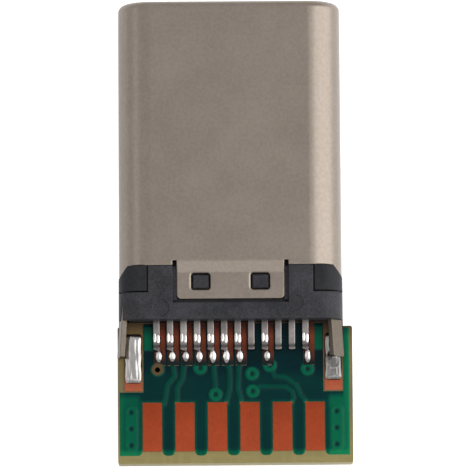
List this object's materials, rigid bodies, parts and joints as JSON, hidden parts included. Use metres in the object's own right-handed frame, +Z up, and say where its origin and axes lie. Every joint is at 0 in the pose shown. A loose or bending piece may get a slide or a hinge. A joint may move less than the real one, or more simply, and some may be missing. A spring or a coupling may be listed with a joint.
{
  "type": "usb-c plug",
  "caption": "USB-C plug: a flat oval steel shell over a black moulded body with spring contacts, its tails soldered to a small green wiring board.",
  "frame": {"origin": "centre of the plug's mouth, on the plug's axis", "axes": "+Y is the way the plug goes in, so the body runs to -Y; +Z is up, away from the surface it lies on; +X is to the right seen from the board's end"},
  "size_m": [0.0087, 0.0172, 0.0024],
  "materials": {
    "shell_steel": "satin drawn stainless steel",
    "insulator_plastic": "matt black moulding with fine glass fibre grain",
    "block_plastic": "matt black moulding with fine glass fibre grain",
    "spring_steel": "stamped stainless sheet",
    "contact_plating": "tinned copper alloy strip",
    "board_laminate": "bare glass-epoxy laminate",
    "copper_foil": "bare copper foil with a thin organic coat",
    "pad_copper": "bare copper pad, etched matt",
    "green_mask": "glossy green solder mask",
    "solder": "bright wetted solder"
  },
  "bodies": {
    "root": {"shell": "shell_steel", "front_insulator": "insulator_plastic", "carrier_upper": "block_plastic", "carrier_lower": "block_plastic", "ground_spring_upper": "spring_steel", "ground_spring_lower": "spring_steel", "mid_plate": "spring_steel", "latch_left": "spring_steel", "latch_right": "spring_steel", "contact_a1": "contact_plating", "contact_a2": "contact_plating", "contact_a3": "contact_plating", "contact_a4": "contact_plating", "contact_a5": "contact_plating", "contact_a6": "contact_plating", "contact_a7": "contact_plating", "contact_a8": "contact_plating", "contact_a9": "contact_plating", "contact_a10": "contact_plating", "contact_a11": "contact_plating", "contact_a12": "contact_plating", "contact_b1": "contact_plating", "contact_b2": "contact_plating", "contact_b3": "contact_plating", "contact_b4": "contact_plating", "contact_b5": "contact_plating", "contact_b6": "contact_plating", "contact_b7": "contact_plating", "contact_b8": "contact_plating", "contact_b9": "contact_plating", "contact_b10": "contact_plating", "contact_b11": "contact_plating", "contact_b12": "contact_plating", "circuit_board": "board_laminate", "via_barrels": "copper_foil", "wire_pads": "pad_copper", "copper_upper": "copper_foil", "copper_lower": "copper_foil", "solder_mask_upper": "green_mask", "solder_mask_lower": "green_mask", "contact_solder_upper": "solder", "contact_solder_lower": "solder", "latch_solder_upper": "solder", "latch_solder_lower": "solder"}
  },
  "joints": []
}
